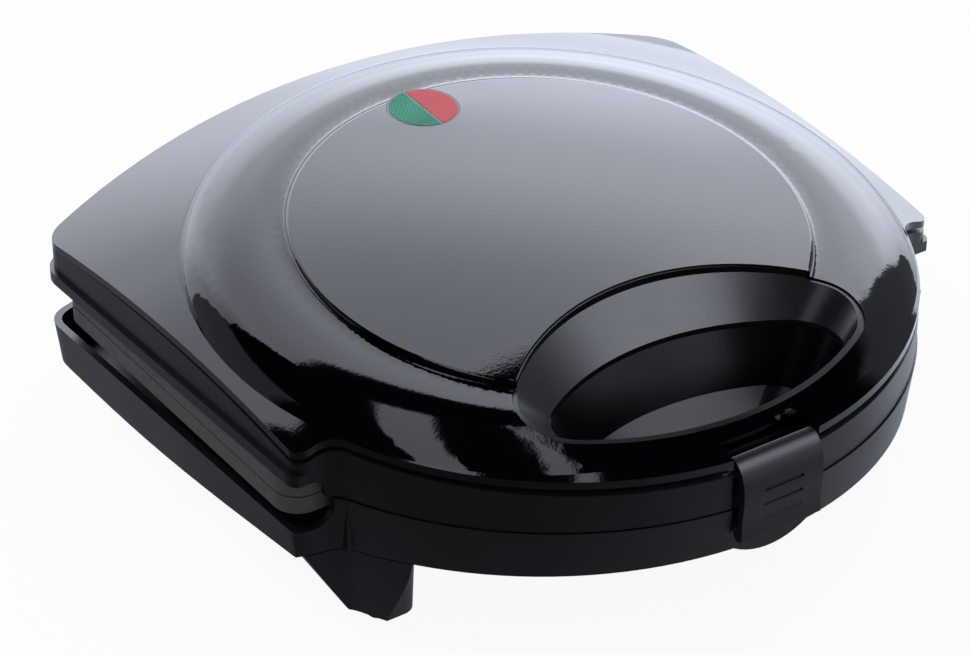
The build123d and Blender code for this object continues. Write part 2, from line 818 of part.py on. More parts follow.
with BuildPart() as lid_hinges:
    for s in (-1, 1):
        with BuildSketch(side(s * hinge_x - hinge_w / 2)):
            with Locations((hinge_y, hinge_z)):
                Circle(knuckle_r)
            with Locations(((103.5 + hinge_y) / 2, knuckle_r - leaf_t / 2)):
                Rectangle(hinge_y - 103.5, leaf_t)
            with Locations((hinge_y, hinge_z)):
                Circle(pin_r + pin_gap, mode=Mode.SUBTRACT)
        extrude(amount=hinge_w)
        with BuildSketch(level(-10)):
            with Locations((s * hinge_x, 122 + 20)):
                Rectangle(leaf_w + 2 * arm_gap, 40)
        extrude(amount=20, mode=Mode.SUBTRACT)
    with BuildSketch(level(0)):
        for s in (-1, 1):
            with Locations((s * hinge_x - 6, 109), (s * hinge_x + 6, 109)):
                Circle(screw_r + 0.1)
    extrude(amount=10, mode=Mode.SUBTRACT)
lid_hinges.part.label = "lid_hinges"
export_step(lid_hinges.part, "parts/lid_hinges.step")

with BuildPart() as hinge_pins:
    for s in (-1, 1):
        with BuildSketch(side(s * hinge_x - hinge_w / 2 - 0.6)):
            with Locations((hinge_y, hinge_z)):
                Circle(pin_r)
        extrude(amount=hinge_w + 1.2)
        for end in (-1, 1):
            with BuildSketch(side(s * hinge_x + end * (hinge_w / 2 + 0.6))):
                with Locations((hinge_y, hinge_z)):
                    Circle(pin_r + 1.0)
            extrude(amount=end * 1.0)
hinge_pins.part.label = "hinge_pins"
export_step(hinge_pins.part, "parts/hinge_pins.step")

base_spots = [(s * hinge_x + d, 107.5) for s in (-1, 1) for d in (-4, 4)]
with BuildPart() as base_hinge_screws:
    add(screw(level(-knuckle_r + leaf_t), base_spots, screw_r, 8, 2.7, 1.4))
base_hinge_screws.part.label = "base_hinge_screws"
export_step(base_hinge_screws.part, "parts/base_hinge_screws.step")

lid_spots = [(s * hinge_x + d, 109) for s in (-1, 1) for d in (-6, 6)]
with BuildPart() as lid_hinge_screws:
    add(screw(level(-knuckle_r + leaf_t), lid_spots, screw_r, 8, 2.7, 1.4).mirror(level(0)))
lid_hinge_screws.part.label = "lid_hinge_screws"
export_step(lid_hinge_screws.part, "parts/lid_hinge_screws.step")

# --------------------------------------------------------------------- latch
with BuildPart() as latch_clip:
    with BuildSketch(side(-latch_half)):
        with BuildLine():
            top = (-106.6, 15.7)
            outer = Spline(top, (-110.6, 13.9), (-112.9, 9.6), (-113.5, 3), (latch_face_y, latch_low_z))
            Line(outer @ 1, (latch_face_y + 0.8, latch_low_z - 0.8))
            Line((latch_face_y + 0.8, latch_low_z - 0.8), (-110.6, latch_low_z - 0.8))
            Line((-110.6, latch_low_z - 0.8), (-109.3, latch_low_z + 0.6))
            Line((-109.3, latch_low_z + 0.6), (-109.3, latch_low_z + 1.8))
            Line((-109.3, latch_low_z + 1.8), (-111.1, latch_low_z + 3.2))
            inner = Spline((-111.1, latch_low_z + 3.2), (-111.2, 3), (-110.7, 8.8), (-108.9, 12.2), (-106.0, 13.4))
            Line(inner @ 1, top)
        make_face()
    extrude(amount=2 * latch_half)
    fillet(latch_clip.edges().filter_by(Axis.X).sort_by(Axis.Z)[-2:], 0.7)
    # arms to the pin
    for x in (-11.5, 8.5):
        with BuildSketch(side(x)):
            with Locations((latch_pin_y, latch_pin_z)):
                Circle(3.1)
            with BuildLine():
                Polyline((latch_pin_y, latch_pin_z + 3.1), (-109.6, 12.4), (-111.2, 7.6), (-111.3, 2),
                         (latch_pin_y - 1, latch_pin_z - 3.0), close=True)
            make_face()
        extrude(amount=3)
    with BuildSketch(side(-20)):
        with Locations((latch_pin_y, latch_pin_z)):
            Circle(latch_pin_r + 0.06)
    extrude(amount=40, mode=Mode.SUBTRACT)
    # three grip lines on the face
    for z in (5.6, 0.7, -4.2):
        with BuildSketch(front(latch_face_y - 3)):
            with Locations((0, z)):
                SlotOverall(14, 1.1)
        extrude(amount=-3.5, mode=Mode.SUBTRACT)
latch_clip.part.label = "latch_clip"
export_step(latch_clip.part, "parts/latch_clip.step")

with BuildPart() as latch_pin:
    with BuildSketch(side(-notch_half - cheek + 0.2)):
        with Locations((latch_pin_y, latch_pin_z)):
            Circle(latch_pin_r)
    extrude(amount=2 * (notch_half + cheek - 0.2))
latch_pin.part.label = "latch_pin"
export_step(latch_pin.part, "parts/latch_pin.step")

# ----------------------------------------------------------------- indicator
rib = 0.7
with BuildPart() as indicator_ring:
    with BuildSketch(lamp_plane.offset(-5.5)):
        Circle(lamp_r + 0.4)
        Circle(lamp_r - 1.6, mode=Mode.SUBTRACT)
    extrude(amount=5.4)
    with BuildSketch(lamp_plane.offset(-2.65)):
        Circle(lamp_r - 0.3)
    extrude(amount=4, mode=Mode.SUBTRACT)
    with BuildSketch(lamp_plane.offset(-5.5)):
        Rectangle(rib, 2 * lamp_r - 0.4)
    extrude(amount=5.4)
indicator_ring.part.label = "indicator_ring"
export_step(indicator_ring.part, "parts/indicator_ring.step")

with BuildPart() as indicator_green:
    with BuildSketch(lamp_plane.offset(-2.6)):
        Circle(lamp_r - 0.35)
        with Locations((-rib / 2 - 0.05, 0)):
            Rectangle(lamp_r + 1, 2 * lamp_r, align=(Align.MIN, Align.CENTER), mode=Mode.SUBTRACT)
    extrude(amount=2.6)
indicator_green.part.label = "indicator_green"
export_step(indicator_green.part, "parts/indicator_green.step")

with BuildPart() as indicator_red:
    add(indicator_green.part.mirror(Plane.YZ))
indicator_red.part.label = "indicator_red"
export_step(indicator_red.part, "parts/indicator_red.step")

lug_x = 18
lug_y = -2.6             # the lugs stand clear of the disc's rear edge
with BuildPart() as lamp_holder:
    with BuildSketch(lamp_plane.offset(-9.5)):
        Circle(lamp_r + 2.4)
        with Locations((lug_x, lug_y), (-lug_x, lug_y)):
            Circle(3.6)
        Rectangle(2 * lug_x, 6)
        with Locations((-5, 0), (5, 0)):
            Circle(2.45, mode=Mode.SUBTRACT)
    extrude(amount=-1.8)
    with BuildSketch(lamp_plane.offset(-9.5)):
        with Locations((lug_x, lug_y), (-lug_x, lug_y)):
            Circle(3.2)
    extrude(amount=9.5 - wall - 0.3)
lamp_holder.part.label = "lamp_holder"
export_step(lamp_holder.part, "parts/lamp_holder.step")

with BuildPart() as neon_lamps:
    with BuildSketch(lamp_plane.offset(-14.5)):
        with Locations((-5, 0), (5, 0)):
            Circle(2.4)
    extrude(amount=9.5)
neon_lamps.part.label = "neon_lamps"
export_step(neon_lamps.part, "parts/neon_lamps.step")

# --------------------------------------------------------------------- wires
with BuildPart() as base_wires:
    run = [at(gland_x - 1.5, 106, gland_z), at(gland_x - 1.5, 98, gland_z - 2), at(45, 97, -18.6)]
    run += [at(24, 102, -17), at(19.2, block_y, -15)]
    add(tube(run, 4, 1.1))
    run = [p + Vector(3.2, 0, 0.6) for p in run[:2]] + [at(47, 94, -19.5), at(-24, 94, -20)]
    run += [at(-26, 103, -17), at(-19.2, block_y, -15)]
    add(tube(run, 4, 1.1))
base_wires.part.label = "base_wires"
export_step(base_wires.part, "parts/base_wires.step")

with BuildPart() as lid_wires:
    run = [lamp_plane.from_local_coords(p) for p in ((-5, 0, -14.52), (-5, 0, -17.5))]
    run += [at(-14, 92, 22), at(-14, 104, 18), at(-14, 104, element_z + 1.25)]
    add(tube(run, [1.2, 2, 1.2], 0.9))
    add(lid_wires.part.mirror(Plane.YZ))
lid_wires.part.label = "lid_wires"
export_step(lid_wires.part, "parts/lid_wires.step")
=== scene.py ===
"""Looks of the sandwich toaster: finishes for every moulded, cast and drawn piece,
a plain studio floor, soft lamps, what the polish mirrors, and the camera. Everything
is in metres, and angles of the surroundings are in degrees."""

from math import cos, radians, sin

import bmesh
import bpy
from bpy.props import FloatProperty, FloatVectorProperty, PointerProperty
from bpy.types import Operator, Panel, PropertyGroup
from mathutils import Matrix, Vector

bl_info = {
    "name": "Sandwich Toaster Looks",
    "version": (1, 0, 0),
    "blender": (4, 5, 0),
    "location": "View3D > Sidebar > Toaster",
    "description": "Finishes, floor, lamps and camera for a clamshell sandwich toaster",
    "category": "Object",
}

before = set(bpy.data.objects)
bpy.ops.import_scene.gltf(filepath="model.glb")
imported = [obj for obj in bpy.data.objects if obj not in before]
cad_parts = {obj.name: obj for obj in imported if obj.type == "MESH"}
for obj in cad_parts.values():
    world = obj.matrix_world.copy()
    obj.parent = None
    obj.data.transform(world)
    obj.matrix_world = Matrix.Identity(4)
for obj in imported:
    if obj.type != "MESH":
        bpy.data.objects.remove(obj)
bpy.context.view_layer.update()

# CAD nodes by finish
FINISHES = {
    "gloss_shell": ["lid_cover"],
    "hand_hollow": ["handle_cup", "handle_deck"],
    "satin_shell": ["lid_skirt", "base_housing", "latch_clip", "front_feet", "rear_feet",
                    "catch_post"],
    "satin_bezel": ["handle_bezel"],
    "foot_rubber": ["foot_pads", "cord_gland"],
    "coated_plate": ["lower_plate", "upper_plate"],
    "element_sheath": ["lower_element", "upper_element"],
    "zinc_steel": ["plate_screws_lower", "plate_screws_upper", "base_hinge_screws",
                   "lid_hinge_screws", "hinge_pins", "latch_pin", "base_hinges", "lid_hinges",
                   "thermostat"],
    "bright_sheet": ["lower_shield", "upper_shield"],
    "wire_sleeve": ["thermal_fuse", "base_wires", "lid_wires"],
    "kiln_ceramic": ["terminal_block"],
    "lamp_seat": ["indicator_ring", "lamp_holder"],
    "lens_green": ["indicator_green"],
    "lens_red": ["indicator_red"],
    "lamp_glass": ["neon_lamps"],
}


# ------------------------------------------------------------------ properties
class ShellSettings(PropertyGroup):
    """Polished and satin mouldings."""
    gloss_color: FloatVectorProperty(
        name="Gloss colour", description="Colour of the polished lid moulding",
        default=(0.0012, 0.0012, 0.0018), subtype="COLOR", min=0, max=1)
    satin_color: FloatVectorProperty(
        name="Satin colour", description="Colour of the fine-grained mouldings",
        default=(0.0038, 0.0042, 0.0052), subtype="COLOR", min=0, max=1)
    gloss_roughness: FloatProperty(
        name="Gloss roughness", description="Roughness of the polished moulding",
        default=0.035, min=0, max=1, subtype="FACTOR")
    satin_roughness: FloatProperty(
        name="Satin roughness", description="Roughness of the grained moulding",
        default=0.34, min=0, max=1, subtype="FACTOR")
    ripple: FloatProperty(
        name="Ripple height", description="Height of the faint ripple in the polished skin",
        default=0.0000045, min=0, max=0.0001, precision=7, unit="LENGTH")
    grain: FloatProperty(
        name="Grain height", description="Height of the moulded grain",
        default=0.00002, min=0, max=0.0005, precision=6, unit="LENGTH")


class MetalSettings(PropertyGroup):
    """Coated, plated and heat-tinted metal."""
    plate_color: FloatVectorProperty(
        name="Plate coating", description="Colour of the non-stick coating",
        default=(0.085, 0.09, 0.086), subtype="COLOR", min=0, max=1)
    zinc_color: FloatVectorProperty(
        name="Zinc", description="Colour of plated steel pieces",
        default=(0.58, 0.59, 0.6), subtype="COLOR", min=0, max=1)
    sheath_color: FloatVectorProperty(
        name="Element sheath", description="Colour of the heat-tinted tube",
        default=(0.2, 0.18, 0.16), subtype="COLOR", min=0, max=1)


class LampSettings(PropertyGroup):
    """The two lenses of the indicator."""
    green: FloatVectorProperty(
        name="Ready lens", description="Colour of the green half of the lamp",
        default=(0.008, 0.33, 0.19), subtype="COLOR", min=0, max=1)
    red: FloatVectorProperty(
        name="Power lens", description="Colour of the red half of the lamp",
        default=(0.6, 0.075, 0.085), subtype="COLOR", min=0, max=1)
    grid: FloatProperty(
        name="Grid pitch", description="Pitch of the prisms in the green lens",
        default=0.0011, min=0.0003, max=0.005, precision=4, unit="LENGTH")


class StageSettings(PropertyGroup):
    """Floor, camera and surroundings."""
    floor_size: FloatProperty(
        name="Floor size", description="Side of the square floor",
        default=6.0, min=1, max=30, unit="LENGTH")
    lens_mm: FloatProperty(
        name="Lens", description="Focal length on a 36 mm sensor",
        default=123.0, min=20, max=300, subtype="DISTANCE_CAMERA")
    backdrop: FloatProperty(
        name="Panel level", description="Level of the rear panel in reflections",
        default=1.0, min=0, max=10)


# ------------------------------------------------------------- node helpers
def new_material(name):
    """A node material with one Principled shader, and the handles to build on."""
    mat = bpy.data.materials.new(name)
    mat.use_nodes = True
    tree = mat.node_tree
    return mat, tree, tree.nodes["Principled BSDF"]


def node(tree, kind, **values):
    """Adds a node; keys that name an input set it, the rest are attributes."""
    n = tree.nodes.new(kind)
    for key, value in values.items():
        if hasattr(n, key):
            setattr(n, key, value)
        else:
            n.inputs[key.replace("_", " ")].default_value = value
    return n


def group_tree(name, inputs, outputs):
    """An empty shader node group with its sockets."""
    tree = bpy.data.node_groups.new(name, "ShaderNodeTree")
    for label, kind, value in inputs:
        socket = tree.interface.new_socket(label, in_out="INPUT", socket_type=kind)
        if value is not None:
            socket.default_value = value
    for label, kind in outputs:
        tree.interface.new_socket(label, in_out="OUTPUT", socket_type=kind)
    return tree, tree.nodes.new("NodeGroupInput"), tree.nodes.new("NodeGroupOutput")


def ripple_group():
    """Long, faint waves of a polished moulding: height and a slow roughness mask."""
    tree, gin, gout = group_tree(
        "Skin Ripple",
        [("Scale", "NodeSocketFloat", 260.0), ("Fine Scale", "NodeSocketFloat", 900.0)],
        [("Height", "NodeSocketFloat"), ("Mask", "NodeSocketFloat")])
    coord = node(tree, "ShaderNodeTexCoord")
    wide = node(tree, "ShaderNodeTexNoise", Detail=1.0)
    fine = node(tree, "ShaderNodeTexNoise", Detail=1.5)
    slow = node(tree, "ShaderNodeTexNoise", Scale=9.0, Detail=3.0)
    mix = node(tree, "ShaderNodeMath", operation="MULTIPLY_ADD")
    mix.inputs[1].default_value = 0.45
    for tex in (wide, fine, slow):
        tree.links.new(coord.outputs["Object"], tex.inputs["Vector"])
    tree.links.new(gin.outputs["Scale"], wide.inputs["Scale"])
    tree.links.new(gin.outputs["Fine Scale"], fine.inputs["Scale"])
    tree.links.new(fine.outputs["Fac"], mix.inputs[0])
    tree.links.new(wide.outputs["Fac"], mix.inputs[2])
    tree.links.new(mix.outputs[0], gout.inputs["Height"])
    tree.links.new(slow.outputs["Fac"], gout.inputs["Mask"])
    return tree


def grain_group():
    """Spark-eroded grain of a satin moulding: height and a mottled mask."""
    tree, gin, gout = group_tree(
        "Moulded Grain",
        [("Scale", "NodeSocketFloat", 2600.0), ("Mottle", "NodeSocketFloat", 40.0)],
        [("Height", "NodeSocketFloat"), ("Mask", "NodeSocketFloat")])
    coord = node(tree, "ShaderNodeTexCoord")
    cells = node(tree, "ShaderNodeTexVoronoi")
    noise = node(tree, "ShaderNodeTexNoise", Detail=3.0, Roughness=0.6)
    slow = node(tree, "ShaderNodeTexNoise", Detail=3.0)
    mix = node(tree, "ShaderNodeMath", operation="MULTIPLY_ADD")
    mix.inputs[1].default_value = 0.5
    for tex in (cells, noise, slow):
        tree.links.new(coord.outputs["Object"], tex.inputs["Vector"])
    tree.links.new(gin.outputs["Scale"], cells.inputs["Scale"])
    tree.links.new(gin.outputs["Scale"], noise.inputs["Scale"])
    tree.links.new(gin.outputs["Mottle"], slow.inputs["Scale"])
    tree.links.new(cells.outputs["Distance"], mix.inputs[0])
    tree.links.new(noise.outputs["Fac"], mix.inputs[2])
    tree.links.new(mix.outputs[0], gout.inputs["Height"])
    tree.links.new(slow.outputs["Fac"], gout.inputs["Mask"])
    return tree


def streak_group():
    """Drawn or rolled metal: fine lines along one axis, with slow tarnish."""
    tree, gin, gout = group_tree(
        "Drawn Streaks",
        [("Stretch", "NodeSocketVector", (40.0, 900.0, 900.0)), ("Tarnish", "NodeSocketFloat", 25.0)],
        [("Height", "NodeSocketFloat"), ("Mask", "NodeSocketFloat")])
    coord = node(tree, "ShaderNodeTexCoord")
    scaled = node(tree, "ShaderNodeVectorMath", operation="MULTIPLY")
    lines = node(tree, "ShaderNodeTexNoise", Scale=1.0, Detail=4.0)
    slow = node(tree, "ShaderNodeTexNoise", Detail=4.0)
    tree.links.new(coord.outputs["Object"], scaled.inputs[0])
    tree.links.new(gin.outputs["Stretch"], scaled.inputs[1])
    tree.links.new(scaled.outputs[0], lines.inputs["Vector"])
    tree.links.new(coord.outputs["Object"], slow.inputs["Vector"])
    tree.links.new(gin.outputs["Tarnish"], slow.inputs["Scale"])
    tree.links.new(lines.outputs["Fac"], gout.inputs["Height"])
    tree.links.new(slow.outputs["Fac"], gout.inputs["Mask"])
    return tree


def shared(name, make):
    """A shared group, built on first use."""
    return bpy.data.node_groups.get(name) or make()


def place(tree, group, **values):
    """Places a shared group with its own values."""
    n = tree.nodes.new("ShaderNodeGroup")
    n.node_tree = group
    for key, value in values.items():
        n.inputs[key.replace("_", " ")].default_value = value
    return n


def spread(tree, mask, low, high, target):
    """Runs a mask between two values into a socket."""
    r = node(tree, "ShaderNodeMapRange")
    r.inputs["From Min"].default_value = 0.3
    r.inputs["From Max"].default_value = 0.7
    r.inputs["To Min"].default_value = low
    r.inputs["To Max"].default_value = high
    tree.links.new(mask, r.inputs["Value"])
    tree.links.new(r.outputs[0], target)


def tint(tree, mask, low, high, target):
    """Runs a mask between two colours into a socket."""
    r = node(tree, "ShaderNodeValToRGB")
    r.color_ramp.elements[0].position = 0.3
    r.color_ramp.elements[1].position = 0.7
    r.color_ramp.elements[0].color = (*low, 1)
    r.color_ramp.elements[1].color = (*high, 1)
    tree.links.new(mask, r.inputs["Fac"])
    tree.links.new(r.outputs["Color"], target)


def raise_surface(tree, height, distance, shader, strength=1.0):
    """Bump from a height, into the shader's normal."""
    bump = node(tree, "ShaderNodeBump", Strength=strength)
    bump.inputs["Distance"].default_value = distance
    tree.links.new(height, bump.inputs["Height"])
    tree.links.new(bump.outputs["Normal"], shader.inputs["Normal"])


def shade(color, share):
    """A colour made darker or lighter by a share."""
    return tuple(min(1.0, c * share) for c in color)


# --------------------------------------------------------------- materials
# Cells per metre of the patterns: ripple of polished skin, grain and mottle of mouldings
RIPPLE_WIDE, RIPPLE_FINE = 950.0, 2100.0
GRAIN_CELLS, GRAIN_MOTTLE, RUBBER_MOTTLE = 2600.0, 45.0, 60.0
POLISH_IOR = 1.6
STREAK_HEIGHT = 0.00001     # height of the streaks in drawn metal


def gloss_plastic(name, color, roughness, ripple):
    """Polished moulding: a faint ripple bends what it mirrors."""
    mat, tree, shader = new_material(name)
    skin = place(tree, shared("Skin Ripple", ripple_group), Scale=RIPPLE_WIDE, Fine_Scale=RIPPLE_FINE)
    tint(tree, skin.outputs["Mask"], shade(color, 0.9), shade(color, 1.15), shader.inputs["Base Color"])
    spread(tree, skin.outputs["Mask"], roughness * 0.8, roughness * 1.3, shader.inputs["Roughness"])
    raise_surface(tree, skin.outputs["Height"], ripple, shader)
    shader.inputs["IOR"].default_value = POLISH_IOR
    return mat


def satin_plastic(name, color, roughness, grain, level=0.5):
    """Spark-eroded moulding: fine grain and a slightly mottled sheen."""
    mat, tree, shader = new_material(name)
    skin = place(tree, shared("Moulded Grain", grain_group), Scale=GRAIN_CELLS, Mottle=GRAIN_MOTTLE)
    tint(tree, skin.outputs["Mask"], shade(color, 0.85), shade(color, 1.2), shader.inputs["Base Color"])
    spread(tree, skin.outputs["Mask"], roughness * 0.92, roughness * 1.1, shader.inputs["Roughness"])
    raise_surface(tree, skin.outputs["Height"], grain, shader, 0.6)
    shader.inputs["Specular IOR Level"].default_value = level
    return mat


def streaked_metal(name, color, roughness, stretch, tarnish=0.75, metallic=1.0):
    """Drawn, rolled or coated metal, and woven sleeves at metallic 0: streaks along one axis."""
    mat, tree, shader = new_material(name)
    skin = place(tree, shared("Drawn Streaks", streak_group), Stretch=stretch)
    tint(tree, skin.outputs["Mask"], shade(color, tarnish), color, shader.inputs["Base Color"])
    spread(tree, skin.outputs["Height"], roughness * 0.8, roughness * 1.3, shader.inputs["Roughness"])
    raise_surface(tree, skin.outputs["Height"], STREAK_HEIGHT, shader, 0.5)
    shader.inputs["Metallic"].default_value = metallic
    return mat


LENS_ROUGHNESS, LENS_SHEEN, LENS_GRID_TURN = 0.2, 0.06, 45


def lens_plastic(name, color, deep, pitch, depth):
    """Tinted cover with a fine grid of prisms."""
    mat, tree, shader = new_material(name)
    coord = node(tree, "ShaderNodeTexCoord")
    turn = node(tree, "ShaderNodeMapping")
    turn.inputs["Rotation"].default_value = (0, 0, radians(LENS_GRID_TURN))
    cells = node(tree, "ShaderNodeTexVoronoi", Scale=1 / pitch, Randomness=0.0)
    tree.links.new(coord.outputs["Object"], turn.inputs["Vector"])
    tree.links.new(turn.outputs["Vector"], cells.inputs["Vector"])
    r = node(tree, "ShaderNodeValToRGB")
    r.color_ramp.elements[0].position = 0.1
    r.color_ramp.elements[1].position = 0.75
    r.color_ramp.elements[0].color = (*color, 1)
    r.color_ramp.elements[1].color = (*deep, 1)
    tree.links.new(cells.outputs["Distance"], r.inputs["Fac"])
    tree.links.new(r.outputs["Color"], shader.inputs["Base Color"])
    raise_surface(tree, cells.outputs["Distance"], depth, shader, 0.5)
    shader.inputs["Roughness"].default_value = LENS_ROUGHNESS
    shader.inputs["Specular IOR Level"].default_value = LENS_SHEEN
    return mat


def plain_grained(name, color, roughness, scale, height, transmission=0.0):
    """Rubber, ceramic or lamp glass: one colour under a coarse or fine grain."""
    mat, tree, shader = new_material(name)
    skin = place(tree, shared("Moulded Grain", grain_group), Scale=scale, Mottle=RUBBER_MOTTLE)
    tint(tree, skin.outputs["Mask"], shade(color, 0.8), shade(color, 1.1), shader.inputs["Base Color"])
    spread(tree, skin.outputs["Mask"], roughness * 0.9, min(1.0, roughness * 1.1),
           shader.inputs["Roughness"])
    raise_surface(tree, skin.outputs["Height"], height, shader, 0.6)
    shader.inputs["Transmission Weight"].default_value = transmission
    return mat


def finish_nodes(finish, mat):
    """Gives every CAD node of one finish its material."""
    for name in FINISHES[finish]:
        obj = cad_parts[name]
        obj.data.materials.clear()
        obj.data.materials.append(mat)


# --------------------------------------------------------------- operators
class TOASTER_OT_shells(Operator):
    """Polished and satin finishes of the mouldings."""
    bl_idname = "toaster.shells"
    bl_label = "Finish the mouldings"

    def execute(self, context):
        s = context.scene.toaster_shell
        finish_nodes("gloss_shell", gloss_plastic(
            "gloss_black", tuple(s.gloss_color), s.gloss_roughness, s.ripple))
        finish_nodes("satin_shell", satin_plastic(
            "satin_black", tuple(s.satin_color), s.satin_roughness, s.grain))
        # painted highlight: the bezel takes the satin colour made 30% lighter, standing in for the
        # highlight on its slope
        finish_nodes("satin_bezel", satin_plastic(
            "bezel_satin", shade(tuple(s.satin_color), 1.3), s.satin_roughness * 0.8, s.grain,
            level=0.55))
        # painted shade: the handle hollow keeps the polished colour with its sheen halved, standing in
        # for the shade inside the hollow
        finish_nodes("hand_hollow", satin_plastic(
            "hollow_painted_shade", tuple(s.gloss_color), s.satin_roughness * 0.7, s.ripple, level=0.25))
        finish_nodes("foot_rubber", plain_grained(
            "foot_rubber", (0.012, 0.012, 0.012), roughness=0.8, scale=1500.0, height=0.00004))
        return {"FINISHED"}


class TOASTER_OT_metals(Operator):
    """Coated plates, element, shields, hinges and screws."""
    bl_idname = "toaster.metals"
    bl_label = "Finish the metal pieces"

    def execute(self, context):
        m = context.scene.toaster_metal
        finish_nodes("coated_plate", streaked_metal(
            "coated_plate", tuple(m.plate_color), roughness=0.42, stretch=(500.0, 500.0, 500.0),
            tarnish=0.8, metallic=0.35))
        finish_nodes("element_sheath", streaked_metal(
            "element_sheath", tuple(m.sheath_color), roughness=0.5, stretch=(300.0, 300.0, 900.0)))
        finish_nodes("zinc_steel", streaked_metal(
            "zinc_steel", tuple(m.zinc_color), roughness=0.3, stretch=(60.0, 1400.0, 1400.0)))
        finish_nodes("bright_sheet", streaked_metal(
            "bright_sheet", (0.72, 0.73, 0.74), roughness=0.25, stretch=(30.0, 1200.0, 1200.0)))
        return {"FINISHED"}


class TOASTER_OT_lamp(Operator):
    """The two-colour indicator and what sits under it."""
    bl_idname = "toaster.lamp"
    bl_label = "Finish the indicator"

    def execute(self, context):
        p = context.scene.toaster_lamp
        finish_nodes("lens_green", lens_plastic(
            "lens_green", tuple(p.green), deep=shade(tuple(p.green), 0.45), pitch=p.grid,
            depth=0.0002))
        finish_nodes("lens_red", lens_plastic(
            "lens_red", tuple(p.red), deep=shade(tuple(p.red), 0.85), pitch=p.grid * 0.8,
            depth=0.00002))
        finish_nodes("lamp_seat", satin_plastic(
            "lamp_seat", (0.006, 0.006, 0.006), roughness=0.3, grain=0.00001))
        finish_nodes("lamp_glass", plain_grained(
            "lamp_glass", (0.9, 0.84, 0.78), roughness=0.08, scale=300.0, height=0.000005,
            transmission=0.8))
        return {"FINISHED"}


class TOASTER_OT_wiring(Operator):
    """Glass-fibre sleeves and the ceramic block."""
    bl_idname = "toaster.wiring"
    bl_label = "Finish the wiring"

    def execute(self, context):
        finish_nodes("wire_sleeve", streaked_metal(
            "wire_sleeve", (0.72, 0.7, 0.63), roughness=0.75, stretch=(2500.0, 2500.0, 900.0),
            tarnish=0.8, metallic=0.0))
        finish_nodes("kiln_ceramic", plain_grained(
            "kiln_ceramic", (0.78, 0.76, 0.7), roughness=0.6, scale=900.0, height=0.00003))
        return {"FINISHED"}


def area_lamp(name, place_at, look_at, size, watts):
    """A rectangular soft lamp that looks at a point and isn't mirrored."""
    data = bpy.data.lights.new(name, "AREA")
    data.shape = "RECTANGLE"
    data.size, data.size_y = size
    data.energy = watts
    lamp = bpy.data.objects.new(name, data)
    lamp.location = place_at
    lamp.rotation_euler = (Vector(look_at) - Vector(place_at)).to_track_quat("-Z", "Y").to_euler()
    lamp.visible_glossy = False
    bpy.context.scene.collection.objects.link(lamp)


class TOASTER_OT_stage(Operator):
    """Floor, lamps, surroundings and camera."""
    bl_idname = "toaster.stage"
    bl_label = "Set the stage"

    def execute(self, context):
        s = context.scene.toaster_stage
        scene = context.scene
        scene.view_settings.view_transform = "Standard"
        bm = bmesh.new()
        bmesh.ops.create_grid(bm, x_segments=1, y_segments=1, size=s.floor_size / 2)
        mesh = bpy.data.meshes.new("floor")
        bm.to_mesh(mesh)
        bm.free()
        floor = bpy.data.objects.new("floor", mesh)
        scene.collection.objects.link(floor)
        floor.data.materials.append(floor_material())
        surroundings(scene, s.backdrop)
        for name, values in LAMPS.items():
            area_lamp(name, *values)
        place_camera(scene, s.lens_mm)
        return {"FINISHED"}


# Camera, measured from the dome axis at the parting plane: turn and height of its
# direction and its roll in radians, its reach, and its shift to the right and up
CAMERA_AIM = (-0.0009, -0.01025, 0.0438)
CAMERA_TURN, CAMERA_HEIGHT, CAMERA_ROLL = -0.598637, 0.564607, 0.001491
CAMERA_REACH = 1.002214
CAMERA_SHIFT = (-0.0185616, -0.0022725)
SENSOR_MM = 36.0


def place_camera(scene, lens_mm):
    """The main view, from the front left and above."""
    turn, height, roll = CAMERA_TURN, CAMERA_HEIGHT, CAMERA_ROLL
    back = Vector((sin(turn) * cos(height), -cos(turn) * cos(height), sin(height)))
    right = (-back).cross(Vector((0, 0, 1))).normalized()
    up = right.cross(-back)
    right, up = (cos(roll) * right + sin(roll) * up, cos(roll) * up - sin(roll) * right)
    spot = Vector(CAMERA_AIM) + back * CAMERA_REACH + right * CAMERA_SHIFT[0] + up * CAMERA_SHIFT[1]
    data = bpy.data.cameras.new("camera")
    data.lens = lens_mm
    data.sensor_width = SENSOR_MM
    data.clip_start = 0.05
    camera = bpy.data.objects.new("camera", data)
    facing = Matrix((right, up, back)).transposed().to_4x4()
    camera.matrix_world = Matrix.Translation(spot) @ facing
    scene.collection.objects.link(camera)
    scene.camera = camera


# Floor in reflections: its level along 2x + y in metres, a painted shadow dark in front of the object
# and bright past white behind it, and its colour there. Then the share of light of its own, rather than
# lit, that the eye sees and that the polish sees
FLOOR_PAINTED_SHADOW = [(-0.42, 0.04), (-0.3, 0.12), (-0.17, 0.3), (0.09, 0.55), (0.2, 0.95), (0.5, 1.6)]
FLOOR_COLOR = (0.9, 0.98, 1.14)
FLOOR_SEEN, FLOOR_MIRRORED = 0.93, 0.97


